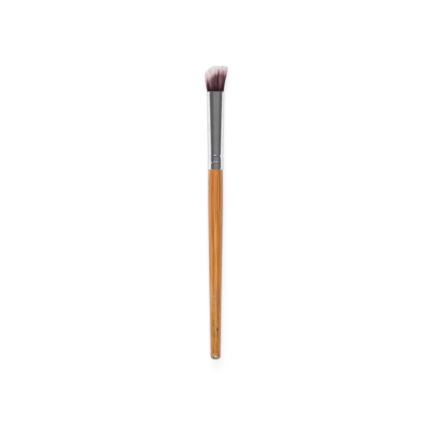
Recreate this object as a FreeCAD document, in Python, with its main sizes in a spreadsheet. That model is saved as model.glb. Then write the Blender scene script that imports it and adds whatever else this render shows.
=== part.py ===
"""Eyeshadow brush: bamboo handle, crimped aluminium ferrule and a flared, slant-cut tuft of filaments.

Each piece is drawn upright around the brush's own axis, with the butt at height zero and the tuft on top,
and is then laid on its side: +Y runs from the butt to the tuft, +X is the wide way of the tuft and +Z is up.
The origin is on the surface that the brush lies on, under the middle of its length.
"""
import FreeCAD, Part
import math
import os
from typing import NamedTuple, Optional

import Sketcher
from FreeCAD import Placement, Rotation, Vector

# Driving sizes in millimetres, and counts
SIZES = {
    # Handle, from the butt up
    "handle_length": 103.5,
    "butt_diameter": 5.5,
    "butt_dome_height": 0.7,
    "butt_round": 1.9,
    "barrel_diameter": 8.24,
    "barrel_length": 14.0,
    "shoulder_ease": 5.5,
    "shoulder_draw_in": 0.12,
    "tenon_length": 11.0,
    "tenon_chamfer": 0.5,
    # Ferrule, from its lower end up to the mouth
    "ferrule_length": 42.4,
    "ferrule_step": 0.275,
    "ferrule_wall": 0.35,
    "ferrule_straight": 11.5,
    "lip_chamfer": 0.22,
    "mouth_width": 9.65,
    "mouth_depth": 7.4,
    "mouth_chamfer": 0.1,
    # Crimp rings, pressed through the ferrule to close it on the tenon
    "crimp_count": 2,
    "crimp_height": 3.8,
    "crimp_pitch": 3.6,
    "crimp_radius": 1.1,
    "crimp_depth": 0.28,
    # Adhesive
    "glue_film": 0.1,
    "fit_gap": 0.01,
    "block_floor": 2.0,
    "potting_depth": 5.0,
    # Tuft, above the mouth
    "tuft_length": 14.2,
    "tuft_width": 12.5,
    "tuft_depth": 8.4,
    "flare_height": 14.0,
    "slant_drop": 3.2,
    "crown_round": 1.2,
    # Locks of filaments
    "lock_count": 55,
    "lock_gap": 0.12,
    "mouth_gap": 0.05,
    "root_gap": 0.15,
    "root_depth": 13.0,
    # Tool overrun, so that a cut passes clean through a face
    "overrun": 0.5,
}

# Sections of a lock above the mouth: share of its free length, and share of its full thickness there
LOCK_SHARES = ((0.0, 1.0), (0.5, 1.0), (0.86, 0.9), (1.0, 0.35))
# Locks with their roots beyond this share of the bundle's radius make up its outer layer
OUTER_LAYER_SHARE = 0.72
# Heights of the ferrule's oval sections as shares of its flare
OVAL_SHARES = (1 / 3, 2 / 3, 1)
# Sides of the bundle's outline, which bounds its outer locks
RIM_SIDES = 24
# Turn between neighbours in a sunflower spiral, which packs a disc evenly
GOLDEN_TURN = math.pi * (3 - math.sqrt(5))

# Radii and heights that several pieces share, as expressions on the sheet
SHOULDER = "sizes.handle_length"
MOUTH = "(sizes.handle_length + sizes.ferrule_length)"
BARREL_RADIUS = "(sizes.barrel_diameter / 2)"
SHOULDER_RADIUS = f"({BARREL_RADIUS} - sizes.shoulder_draw_in)"
FERRULE_RADIUS = f"({SHOULDER_RADIUS} + sizes.ferrule_step)"
BARREL_TOP = "(sizes.handle_length - sizes.shoulder_ease)"
BARREL_FOOT = f"({BARREL_TOP} - sizes.barrel_length)"
BUTT_RADIUS = "(sizes.butt_diameter / 2)"
# Heights inside the ferrule: the foot of its flare, the ends of the filaments and both ends of the root block
FLARE_FOOT = f"({SHOULDER} + sizes.ferrule_straight)"
ROOT = f"({MOUTH} - sizes.root_depth)"
BLOCK_FOOT = f"({ROOT} - sizes.block_floor)"
BLOCK_TOP = f"({ROOT} + sizes.potting_depth)"
# Depths below the ferrule's outer skin: its bore, both skins of the glue, which is thinnest under the crimps,
# and the tenon
BORE_INSET = "sizes.ferrule_wall"
GLUE_OUTER_INSET = f"({BORE_INSET} + sizes.fit_gap)"
GLUE_INNER_INSET = f"({GLUE_OUTER_INSET} + sizes.crimp_depth + sizes.glue_film)"
TENON_INSET = f"({GLUE_INNER_INSET} + sizes.fit_gap)"

doc = FreeCAD.newDocument("eyeshadow_brush")


def fill_sheet():
    """Make the sheet of driving sizes, one row each, with an alias on every number."""
    sheet = doc.addObject("Spreadsheet::Sheet", "sizes")
    for row, (alias, number) in enumerate(SIZES.items(), start=1):
        sheet.set(f"A{row}", alias)
        sheet.set(f"B{row}", str(number))
        sheet.setAlias(f"B{row}", alias)
    doc.recompute()
    return sheet


def value(expression):
    """Return what an expression on the sheet comes to."""
    return float(sizes.evalExpression(expression))


def lay_down(piece):
    """Turn an upright piece onto its side, resting on its thickest part and centred along its length."""
    piece.Placement = Placement(Vector(), Rotation(Vector(1, 0, 0), -90))
    piece.setExpression(".Placement.Base.y", f"-({MOUTH} + sizes.tuft_length) / 2")
    piece.setExpression(
        ".Placement.Base.z",
        f"max({BARREL_RADIUS}; {FERRULE_RADIUS}; sizes.tuft_depth / 2)",
    )


def origin_plane(body, role):
    """Return one of a body's own origin planes."""
    return next(plane for plane in body.Origin.OriginFeatures if plane.Role == role)


def new_sketch(body, name, role, height="0"):
    """Add a sketch on an origin plane of a body, raised by a height given as an expression."""
    sketch = body.newObject("Sketcher::SketchObject", name)
    sketch.AttachmentSupport = [(origin_plane(body, role), "")]
    sketch.MapMode = "FlatFace"
    sketch.setExpression(".AttachmentOffset.Base.z", height)
    return sketch


class Corner(NamedTuple):
    """A corner of an outline, and how the outline goes on from it to the next corner."""

    across: str
    along: str
    # Radius of the arc to the next corner, or nothing for a straight edge
    radius: Optional[str] = None
    # Side that the arc bulges to, seen along the outline: 1 is right, -1 is left
    bulge: int = 1


def arc_between(start, end, radius, bulge):
    """Return the short arc of a radius between two points that bulges to one side of its chord.

    The arc runs anticlockwise, so one that bulges to the left starts at the second point.
    """
    chord = end - start
    half = chord.Length / 2
    rise = radius - math.sqrt(radius * radius - half * half)
    sideways = Vector(chord.y, -chord.x, 0).normalize()
    middle = (start + end) / 2 + sideways * rise * bulge
    return Part.Arc(start, middle, end) if bulge > 0 else Part.Arc(end, middle, start)


def bind(sketch, constraint, expression):
    """Add a constraint to a sketch and tie its value to the sheet."""
    index = sketch.addConstraint(constraint)
    sketch.setExpression(f"Constraints[{index}]", expression)


def draw_outline(sketch, corners):
    """Draw a closed outline whose corners and arcs are all tied to the sheet.

    The corners run anticlockwise. Sketch x is the distance from the brush's axis and sketch y the height.
    """
    points = [Vector(value(corner.across), value(corner.along), 0) for corner in corners]
    ends = []
    for corner, start, end in zip(corners, points, points[1:] + points[:1]):
        if corner.radius:
            curve = arc_between(start, end, value(corner.radius), corner.bulge)
        else:
            curve = Part.LineSegment(start, end)
        edge = sketch.addGeometry(curve, False)
        ends.append((edge, 1, 2) if corner.bulge > 0 else (edge, 2, 1))
    origin, axis, base = (-1, 1), -2, -1
    for number, corner in enumerate(corners):
        edge, first, _ = ends[number]
        last_edge, _, last = ends[number - 1]
        sketch.addConstraint(Sketcher.Constraint("Coincident", last_edge, last, edge, first))
        if corner.across == "0":
            sketch.addConstraint(Sketcher.Constraint("PointOnObject", edge, first, axis))
        else:
            distance = Sketcher.Constraint("DistanceX", *origin, edge, first, points[number].x)
            bind(sketch, distance, corner.across)
        if corner.along == "0":
            sketch.addConstraint(Sketcher.Constraint("PointOnObject", edge, first, base))
        else:
            height = Sketcher.Constraint("DistanceY", *origin, edge, first, points[number].y)
            bind(sketch, height, corner.along)
        if corner.radius:
            radius = Sketcher.Constraint("Radius", edge, value(corner.radius))
            bind(sketch, radius, corner.radius)


def crimps(arc):
    """Return the lower end, middle and upper end of each crimp ring, where its arc has this radius."""
    half = f"sqrt(2 * {arc} * sizes.crimp_depth - sizes.crimp_depth ^ 2)"
    middles = [
        f"({SHOULDER} + sizes.crimp_height + {number} * sizes.crimp_pitch)"
        for number in range(round(sizes.crimp_count))
    ]
    return [(f"({middle} - {half})", middle, f"({middle} + {half})") for middle in middles]


def crimped_skin():
    """Return the corners of the ferrule's outer skin, from its lower end up: a rolled hollow at each ring."""
    corners = []
    for low, _, high in crimps("sizes.crimp_radius"):
        corners += [
            Corner(FERRULE_RADIUS, low, "sizes.crimp_radius", bulge=-1),
            Corner(FERRULE_RADIUS, high),
        ]
    return corners


def creased_wall(inset):
    """Return the corners of a hidden wall at a depth below the skin, from its lower end up, with its creases.

    A crease is as deep as the hollow outside it and wider by the depth, so the metal keeps its thickness.
    """
    wall = f"({FERRULE_RADIUS} - {inset})"
    crease = f"({wall} - sizes.crimp_depth)"
    corners = []
    for low, middle, high in crimps(f"(sizes.crimp_radius + {inset})"):
        corners += [Corner(wall, low), Corner(crease, middle), Corner(wall, high)]
    return corners


def revolve(body, sketch):
    """Turn an outline all the way round the brush's axis."""
    turned = body.newObject("PartDesign::Revolution", f"{body.Name}_turned")
    turned.Profile = sketch
    turned.ReferenceAxis = (sketch, ["V_Axis"])
    sketch.Visibility = False
    doc.recompute()
    return turned


def rim_edges(shape, height, furthest=True):
    """Return the names of the edges that lie flat at a height, or of the widest of them only."""
    level = [
        (edge.BoundBox.XLength, f"Edge{number}")
        for number, edge in enumerate(shape.Edges, start=1)
        if math.isclose(edge.BoundBox.ZMin, height, abs_tol=value("sizes.fit_gap"))
        and math.isclose(edge.BoundBox.ZMax, height, abs_tol=value("sizes.fit_gap"))
    ]
    widest = max(width for width, _ in level)
    return [name for width, name in level if not furthest or width == widest]


def round_edges(body, base, name, edges, radius):
    """Round edges of a feature by a radius given as an expression."""
    fillet = body.newObject("PartDesign::Fillet", name)
    fillet.Base = (base, edges)
    fillet.setExpression("Radius", radius)
    doc.recompute()
    return fillet


def make_handle():
    """Turn the handle: domed butt, straight taper, cylindrical barrel, eased shoulder and tenon."""
    body = doc.addObject("PartDesign::Body", "handle")
    dome = f"(({BUTT_RADIUS} ^ 2 + sizes.butt_dome_height ^ 2) / (2 * sizes.butt_dome_height))"
    tenon_radius = f"({FERRULE_RADIUS} - {TENON_INSET})"
    tenon_top = f"({SHOULDER} + sizes.tenon_length)"
    sketch = new_sketch(body, "handle_outline", "XZ_Plane")
    draw_outline(
        sketch,
        [
            Corner("0", "0", dome),
            Corner(BUTT_RADIUS, "sizes.butt_dome_height"),
            Corner(BARREL_RADIUS, BARREL_FOOT),
            Corner(BARREL_RADIUS, BARREL_TOP),
            Corner(SHOULDER_RADIUS, SHOULDER),
            Corner(tenon_radius, SHOULDER),
            Corner(tenon_radius, f"{tenon_top} - sizes.tenon_chamfer"),
            Corner(f"{tenon_radius} - sizes.tenon_chamfer", tenon_top),
            Corner("0", tenon_top),
        ],
    )
    turned = revolve(body, sketch)
    butt = rim_edges(turned.Shape, value("sizes.butt_dome_height"))
    round_edges(body, turned, "butt_rounding", butt, "sizes.butt_round")
    return body


def draw_oval(sketch, half_width, half_depth):
    """Draw an oval around the brush's axis, its long way along x, tied to the sheet."""
    oval = sketch.addGeometry(Part.Ellipse(Vector(), value(half_width), value(half_depth)), False)
    sketch.exposeInternalGeometry(oval)
    long_axis, short_axis = oval + 1, oval + 2
    sketch.addConstraint(Sketcher.Constraint("Coincident", oval, 3, -1, 1))
    sketch.addConstraint(Sketcher.Constraint("Horizontal", long_axis))
    width = Sketcher.Constraint("Distance", long_axis, 2 * value(half_width))
    depth = Sketcher.Constraint("Distance", short_axis, 2 * value(half_depth))
    bind(sketch, width, f"2 * {half_width}")
    bind(sketch, depth, f"2 * {half_depth}")


def draw_circle(sketch, radius):
    """Draw a circle around the brush's axis, tied to the sheet."""
    circle = sketch.addGeometry(Part.Circle(Vector(), Vector(0, 0, 1), value(radius)), False)
    sketch.addConstraint(Sketcher.Constraint("Coincident", circle, 3, -1, 1))
    bind(sketch, Sketcher.Constraint("Radius", circle, value(radius)), radius)


def flared_half(risen_share, mouth_size, inset):
    """Return the ferrule's half width or half depth part of the way up its flare, as an expression."""
    foot = f"({FERRULE_RADIUS} - {inset})"
    mouth = f"({mouth_size} / 2 - {inset})"
    return f"({foot} + ({mouth} - {foot}) * {risen_share})"


def flare(body, kind, name, inset):
    """Loft the ferrule's flare at a depth below its skin, from the round stretch to the oval mouth."""
    foot = new_sketch(body, f"{name}_foot", "XY_Plane", FLARE_FOOT)
    draw_circle(foot, f"({FERRULE_RADIUS} - {inset})")
    ovals = []
    for number, share in enumerate(OVAL_SHARES, start=1):
        height = f"({FLARE_FOOT} + ({MOUTH} - {FLARE_FOOT}) * {share})"
        oval = new_sketch(body, f"{name}_oval_{number}", "XY_Plane", height)
        half_width = flared_half(share, "sizes.mouth_width", inset)
        half_depth = flared_half(share, "sizes.mouth_depth", inset)
        draw_oval(oval, half_width, half_depth)
        ovals.append(oval)
    doc.recompute()
    loft = body.newObject(kind, name)
    loft.Profile = foot
    loft.Sections = ovals
    loft.Ruled = True
    doc.recompute()
    return loft


def make_ferrule():
    """Form the ferrule: a crimped straight stretch that flares and flattens to a rounded oval mouth."""
    body = doc.addObject("PartDesign::Body", "ferrule")
    bore = f"({FERRULE_RADIUS} - {BORE_INSET})"
    sketch = new_sketch(body, "straight_wall", "XZ_Plane")
    draw_outline(
        sketch,
        [
            Corner(bore, SHOULDER),
            Corner(f"{FERRULE_RADIUS} - sizes.lip_chamfer", SHOULDER),
            Corner(FERRULE_RADIUS, f"{SHOULDER} + sizes.lip_chamfer"),
            *crimped_skin(),
            Corner(FERRULE_RADIUS, FLARE_FOOT),
            Corner(bore, FLARE_FOOT),
            *reversed(creased_wall(BORE_INSET)),
        ],
    )
    revolve(body, sketch)
    flare(body, "PartDesign::AdditiveLoft", "flare_skin", "0")
    hollow = flare(body, "PartDesign::SubtractiveLoft", "flare_bore", BORE_INSET)
    mouth = rim_edges(hollow.Shape, value(MOUTH), furthest=False)
    burnish = body.newObject("PartDesign::Chamfer", "mouth_chamfer")
    burnish.Base = (hollow, mouth)
    burnish.setExpression("Size", "sizes.mouth_chamfer")
    doc.recompute()
    return body


def make_tenon_glue():
    """Turn the sleeve of adhesive that fills the room between the tenon and the ferrule's crimped bore."""
    body = doc.addObject("PartDesign::Body", "tenon_glue")
    inner = f"({FERRULE_RADIUS} - {GLUE_INNER_INSET})"
    outer = f"({FERRULE_RADIUS} - {GLUE_OUTER_INSET})"
    foot = f"({SHOULDER} + sizes.fit_gap)"
    top = f"({SHOULDER} + sizes.tenon_length - sizes.tenon_chamfer)"
    sketch = new_sketch(body, "glue_wall", "XZ_Plane")
    draw_outline(
        sketch,
        [
            Corner(inner, foot),
            Corner(outer, foot),
            *creased_wall(GLUE_OUTER_INSET),
            Corner(outer, top),
            Corner(inner, top),
        ],
    )
    revolve(body, sketch)
    return body


def bore_half(height, mouth_size):
    """Return half the width or depth of the bore at a height in the ferrule's flare, as an expression."""
    risen_share = f"(({height} - {FLARE_FOOT}) / ({MOUTH} - {FLARE_FOOT}))"
    return flared_half(risen_share, mouth_size, BORE_INSET)


def bore_oval(height):
    """Return the half width and half depth of the ferrule's bore at a height, as numbers."""
    return value(bore_half(height, "sizes.mouth_width")), value(bore_half(height, "sizes.mouth_depth"))


class Lock(NamedTuple):
    """A lock of filaments in a bundle whose radius is 1."""

    # Middle of the lock, across the wide way and the deep way of the bundle
    wide: float
    deep: float
    # Outline of the lock at its full thickness, and of the socket that its root stands in
    outline: list
    socket: list
    # How far the lock stands out of the mouth, in millimetres
    tip: float


def crown_height(wide, deep):
    """Return how far a lock stands out of the mouth: a slant cut, longest on one side, with round edges."""
    slant = ((1 - wide) / 2) ** 2
    rounding = (wide * wide + deep * deep) ** 2
    return sizes.tuft_length - sizes.slant_drop * slant - sizes.crown_round * rounding


def trim(outline, across, limit):
    """Cut off what lies beyond a straight line, given by a direction and its distance from the middle."""
    kept = []
    for start, end in zip(outline, outline[1:] + outline[:1]):
        start_over = start.dot(across) - limit
        end_over = end.dot(across) - limit
        if start_over <= 0:
            kept.append(start)
        if start_over * end_over < 0:
            kept.append(start + (end - start) * (start_over / (start_over - end_over)))
    return kept


def cell(seed, seeds, inset, rim):
    """Return the outline of what is inside the rim and nearer to a seed than to any other, less an inset."""
    turns = [2 * math.pi * number / RIM_SIDES for number in range(RIM_SIDES)]
    outline = [Vector(math.cos(turn), math.sin(turn)) * rim for turn in turns]
    for other in seeds:
        if other is not seed:
            across = Vector(other - seed).normalize()
            outline = trim(outline, across, across.dot(other + seed) / 2 - inset)
    return outline


def plant_locks():
    """Plant the locks in a sunflower spiral, pressed against each other but for the gap between them."""
    count = round(sizes.lock_count)
    seeds = []
    for number in range(count):
        reach = math.sqrt((number + 1 / 2) / count)
        turn = number * GOLDEN_TURN
        seeds.append(Vector(reach * math.cos(turn), reach * math.sin(turn)))
    narrowest = min(bore_oval(MOUTH))
    inset = sizes.lock_gap / 2 / narrowest
    growth = sizes.fit_gap / narrowest
    return [
        Lock(
            seed.x,
            seed.y,
            cell(seed, seeds, inset, 1),
            cell(seed, seeds, inset - growth, 1 + growth),
            crown_height(seed.x, seed.y),
        )
        for seed in seeds
    ]


def lock_section(lock, outline, oval, height, thickness_share=1.0):
    """Return the corners of a lock's outline where the bundle is an oval of these half sizes.

    The lock keeps its outline from the mouth and grows with the bundle's tighter way, so its faces stay flat.
    """
    wide, deep = bundle_oval(0)
    growth_share = min(oval[0] / wide, oval[1] / deep) * thickness_share
    return [
        Vector(
            lock.wide * oval[0] + (corner.x - lock.wide) * wide * growth_share,
            lock.deep * oval[1] + (corner.y - lock.deep) * deep * growth_share,
            height,
        )
        for corner in outline
    ]


def flat_face(corners):
    """Return the flat face inside a ring of corners."""
    return Part.Face(Part.makePolygon(corners + corners[:1]))


def skin(sections):
    """Return the solid with flat sides through sections that have as many corners and parallel edges."""
    faces = [flat_face(sections[0][::-1]), flat_face(sections[-1])]
    for lower, upper in zip(sections, sections[1:]):
        for number, corner in enumerate(lower):
            faces.append(flat_face([lower[number - 1], corner, upper[number], upper[number - 1]]))
    return Part.Solid(Part.Shell(faces))


def bundle_oval(height):
    """Return the bundle's half width and half depth at a height above the mouth, where it flares."""
    wide, deep = (half - sizes.mouth_gap for half in bore_oval(MOUTH))
    opened = 1 - (1 - min(height / sizes.flare_height, 1)) ** 2
    return (
        wide + (sizes.tuft_width / 2 - wide) * opened,
        deep + (sizes.tuft_depth / 2 - deep) * opened,
    )


def root_oval(height):
    """Return the bundle's half width and half depth inside the ferrule, straight from root to mouth."""
    root = [half - sizes.root_gap for half in bore_oval(ROOT)]
    risen_share = (height - value(ROOT)) / sizes.root_depth
    return [low + (high - low) * risen_share for low, high in zip(root, bundle_oval(0))]


def lock_solid(lock):
    """Skin one lock: straight inside the ferrule, flared above the mouth and drawn in to its tip."""
    sections = [lock_section(lock, lock.outline, root_oval(value(ROOT)), value(ROOT))]
    for share, thickness_share in LOCK_SHARES:
        height = share * lock.tip
        oval = bundle_oval(height)
        sections.append(lock_section(lock, lock.outline, oval, value(MOUTH) + height, thickness_share))
    return skin(sections)


def lock_socket(lock):
    """Skin the socket that a lock's root stands in, from just below its end to above the root block."""
    low = value(ROOT) - sizes.fit_gap
    high = value(BLOCK_TOP) + sizes.overrun
    return skin([lock_section(lock, lock.socket, root_oval(height), height) for height in (low, high)])


def make_root_block(locks):
    """Cast the root block: an oval plug inside the flare, with a socket round the root of every lock."""
    body = doc.addObject("PartDesign::Body", "root_plug")
    ends = []
    for name, height in (("plug_foot", BLOCK_FOOT), ("plug_top", BLOCK_TOP)):
        end = new_sketch(body, name, "XY_Plane", height)
        half_width = f"({bore_half(height, 'sizes.mouth_width')} - sizes.fit_gap)"
        half_depth = f"({bore_half(height, 'sizes.mouth_depth')} - sizes.fit_gap)"
        draw_oval(end, half_width, half_depth)
        ends.append(end)
    doc.recompute()
    plug = body.newObject("PartDesign::AdditiveLoft", "plug")
    plug.Profile = ends[0]
    plug.Sections = ends[1:]
    sockets = doc.addObject("Part::Feature", "root_sockets")
    sockets.Shape = Part.makeCompound([lock_socket(lock) for lock in locks])
    block = doc.addObject("Part::Cut", "root_block")
    block.Base = body
    block.Tool = sockets
    doc.recompute()
    return block


def make_filaments(name, locks):
    """Group a layer of locks as separate solids."""
    layer = doc.addObject("Part::Feature", name)
    layer.Shape = Part.makeCompound([lock_solid(lock) for lock in locks])
    return layer


def check(pieces):
    """Stop if any object failed to build, or a piece is empty or not valid."""
    for item in doc.Objects:
        if "Invalid" in item.State or "Error" in item.State:
            raise RuntimeError(f"{item.Label} did not build: {item.State}")
    for piece in pieces:
        if piece.Shape.isNull() or not piece.Shape.isValid():
            raise RuntimeError(f"{piece.Label} has no valid shape")


sizes = fill_sheet()
tuft = plant_locks()
outer = [lock for lock in tuft if math.hypot(lock.wide, lock.deep) > OUTER_LAYER_SHARE]
inner = [lock for lock in tuft if lock not in outer]
pieces = [
    make_handle(),
    make_ferrule(),
    make_tenon_glue(),
    make_root_block(tuft),
    make_filaments("filaments_inner", inner),
    make_filaments("filaments_outer", outer),
]
for piece in pieces:
    lay_down(piece)
doc.recompute()
check(pieces)
os.makedirs("parts", exist_ok=True)
for piece in pieces:
    piece.Shape.exportStep(f"parts/{piece.Label}.step")
    print(f"{piece.Label}: {len(piece.Shape.Solids)} solids, {piece.Shape.Volume:.1f} cubic millimetres")
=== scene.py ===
"""Eyeshadow brush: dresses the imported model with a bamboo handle, an aluminium ferrule and a two-tone tuft.

The brush lies along +Y with its butt at -Y, its tuft at +Y and the wide way of the tuft along X.
"""

import logging
import math
from collections.abc import Callable, Mapping, Sequence
from dataclasses import asdict, dataclass, fields
from enum import Enum
from typing import ClassVar

import bpy
import numpy as np
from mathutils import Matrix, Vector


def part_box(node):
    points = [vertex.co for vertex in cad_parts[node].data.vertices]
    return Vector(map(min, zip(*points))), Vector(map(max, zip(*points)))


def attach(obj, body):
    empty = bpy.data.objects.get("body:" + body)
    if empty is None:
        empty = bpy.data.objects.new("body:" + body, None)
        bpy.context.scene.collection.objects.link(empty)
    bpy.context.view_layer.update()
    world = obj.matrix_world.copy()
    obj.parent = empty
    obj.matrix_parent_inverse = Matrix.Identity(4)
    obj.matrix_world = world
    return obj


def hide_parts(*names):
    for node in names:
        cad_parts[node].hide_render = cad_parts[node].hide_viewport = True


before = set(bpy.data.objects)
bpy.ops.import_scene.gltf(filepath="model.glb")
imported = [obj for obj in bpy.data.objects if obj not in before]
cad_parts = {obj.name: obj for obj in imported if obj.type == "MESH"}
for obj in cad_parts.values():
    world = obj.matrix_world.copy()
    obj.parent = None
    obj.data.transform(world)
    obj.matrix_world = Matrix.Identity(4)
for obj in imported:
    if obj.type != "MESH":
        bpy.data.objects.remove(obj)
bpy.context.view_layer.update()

MM = 0.001
BODY = "root"
FULL_TURN = 2 * math.pi
GOLDEN_TURN = math.pi * (3 - math.sqrt(5))
LOG = logging.getLogger("eyeshadow_brush")

Colour = tuple[float, float, float, float]
Socket = bpy.types.NodeSocket
Feed = float | Sequence[float] | Socket
Inputs = Mapping[str | int, Feed]
Skin = Callable[[float, float], float]


class Layer(Enum):
    """The two layers of the tuft, each named after the CAD node that its piece replaces."""

    INNER = "filaments_inner"
    OUTER = "filaments_outer"


class Slot(Enum):
    """Names of the record's material slots, one for each finish of the new pieces."""

    BAMBOO = "bamboo"
    METAL = "ferrule_metal"
    FILAMENT = "filament"


def ink(code: str) -> Colour:
    """Return a colour written as sRGB in the linear form that a shader takes.

    A channel c becomes c / 12.92 up to 0.04045, and ((c + 0.055) / 1.055) ** 2.4 above it.

    Args:
        code: six hexadecimal digits, two each for red, green and blue.

    Returns:
        The linear red, green and blue, and an alpha of one.
    """
    written = np.array([int(code[start : start + 2], 16) for start in (0, 2, 4)]) / 255
    linear = np.where(written <= 0.04045, written / 12.92, ((written + 0.055) / 1.055) ** 2.4)
    red, green, blue = linear.tolist()
    return red, green, blue, 1.0


def grey(level: float) -> Colour:
    """Return an even grey of a linear level."""
    return level, level, level, 1.0


def smooth_rise(values: np.ndarray) -> np.ndarray:
    """Return 3t² - 2t³ of the values held between zero and one."""
    held = np.clip(values, 0.0, 1.0)
    return held * held * (3 - 2 * held)


@dataclass(frozen=True)
class Rise:
    """A smooth rise: nothing up to its start, and its full amount from its stop on."""

    start: float
    stop: float
    amount: float = 1.0

    def of(self, values: np.ndarray) -> np.ndarray:
        """Return the amount times the smooth rise of each value's share of the way from start to stop."""
        return self.amount * smooth_rise((values - self.start) / (self.stop - self.start))


@dataclass(frozen=True)
class Bell:
    """A bell: its full amount at its middle, and next to nothing two widths away."""

    middle: float
    width: float
    amount: float

    def of(self, values: np.ndarray) -> np.ndarray:
        """Return the amount times e to the minus square of each value's distance in widths."""
        return self.amount * np.exp(-(((values - self.middle) / self.width) ** 2))


def arc(centre: Sequence[float], radius: float, start: float, stop: float, count: int) -> np.ndarray:
    """Return points on an arc: the centre plus the radius times (cos, sin) of even angles.

    Args:
        centre: the arc's middle.
        radius: its radius.
        start: the first angle in radians.
        stop: the last angle.
        count: how many points, both ends included.

    Returns:
        An array of count points.
    """
    angle = np.linspace(start, stop, count)
    return np.asarray(centre) + radius * np.stack([np.cos(angle), np.sin(angle)], axis=1)


def spiral(count: int) -> tuple[np.ndarray, np.ndarray]:
    """Spread places evenly over the unit disc: the root of each one's share out, a golden turn apart.

    Args:
        count: how many places.

    Returns:
        The places, and their distances from the middle.
    """
    number = np.arange(count) + 0.5
    out, turn = np.sqrt(number / count), number * GOLDEN_TURN
    return np.stack([out * np.cos(turn), out * np.sin(turn)], axis=1), out


def oval_rings(
    half_width: np.ndarray, half_depth: np.ndarray, along: np.ndarray, axis: float, angle: np.ndarray
) -> np.ndarray:
    """Work out rings about a line along Y: (half width cos t, along, half depth sin t above the line).

    Args:
        half_width: the half width for each row, or for each row and column.
        half_depth: the half depth in the same way.
        along: the place along Y for each row.
        axis: the line's height.
        angle: the angle t for each column.

    Returns:
        The points, row after row.
    """
    across = half_width * np.cos(angle)
    places = np.broadcast_to(along[:, None], across.shape)
    return np.stack([across, places, half_depth * np.sin(angle) + axis], axis=-1).reshape(-1, 3)


def ring_quads(rows: int, around: int, closed: bool) -> np.ndarray:
    """Return the corner numbers of the quads between neighbouring rings of a grid.

    Vertex (row, column) has the number row * around + column. Each quad runs up a row, along a column
    and back down, so that it faces away from the axis where the rows go along +Y.

    Args:
        rows: how many rings there are.
        around: how many vertices each ring has.
        closed: whether the last ring joins the first.

    Returns:
        Four corner numbers for each quad.
    """
    row = np.arange(rows if closed else rows - 1)[:, None]
    column = np.arange(around)[None, :]
    above, beside = (row + 1) % rows, (column + 1) % around
    here, there = row * around, above * around
    corners = [here + column, there + column, there + beside, here + beside]
    shape = (row.size, around)
    return np.stack([np.broadcast_to(corner, shape) for corner in corners], axis=-1).reshape(-1, 4)


def fan(pole: int, ring: np.ndarray, above: bool) -> np.ndarray:
    """Return the corner numbers of the triangles that close a ring with a pole.

    Args:
        pole: the pole's vertex number.
        ring: the ring's vertex numbers, in order.
        above: whether the pole lies on the +Y side of the ring.

    Returns:
        Three corner numbers for each triangle.
    """
    poles, beside = np.full(len(ring), pole), np.roll(ring, -1)
    return np.stack([poles, beside, ring] if above else [poles, ring, beside], axis=1)


def new_piece(name: str, points: np.ndarray, faces: Sequence[np.ndarray]) -> bpy.types.Object:
    """Put a worked-out surface into the scene as a smooth mesh piece.

    Args:
        name: the piece's name.
        points: the vertices in metres.
        faces: arrays of corner numbers, each with one number of corners to a face.

    Returns:
        The new object, at the origin.
    """
    mesh = bpy.data.meshes.new(name)
    mesh.vertices.add(len(points))
    mesh.vertices.foreach_set("co", np.ascontiguousarray(points, dtype=np.float32).ravel())
    corners = np.concatenate([face.ravel() for face in faces])
    sizes = np.concatenate([np.full(len(face), face.shape[1]) for face in faces])
    starts = np.concatenate([[0], np.cumsum(sizes)[:-1]])
    mesh.loops.add(len(corners))
    mesh.loops.foreach_set("vertex_index", corners.astype(np.int32))
    mesh.polygons.add(len(sizes))
    mesh.polygons.foreach_set("loop_start", starts.astype(np.int32))
    mesh.polygons.foreach_set("use_smooth", np.ones(len(sizes), dtype=bool))
    mesh.update(calc_edges=True)
    mesh.validate()
    piece = bpy.data.objects.new(name, mesh)
    bpy.context.scene.collection.objects.link(piece)
    return piece


def settle(piece: bpy.types.Object, material: bpy.types.Material, slot: Slot, *nodes: str) -> None:
    """Dress a new piece, let it ride on the brush and stand for its CAD nodes.

    Args:
        piece: the new piece.
        material: its finish.
        slot: the record's slot of that finish; not used.
        nodes: the CAD nodes that it stands for.
    """
    piece.data.materials.append(material)
    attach(piece, BODY)
    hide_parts(*nodes)
    LOG.info("%s: %d faces, for %s", piece.name, len(piece.data.polygons), ", ".join(nodes))


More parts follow.
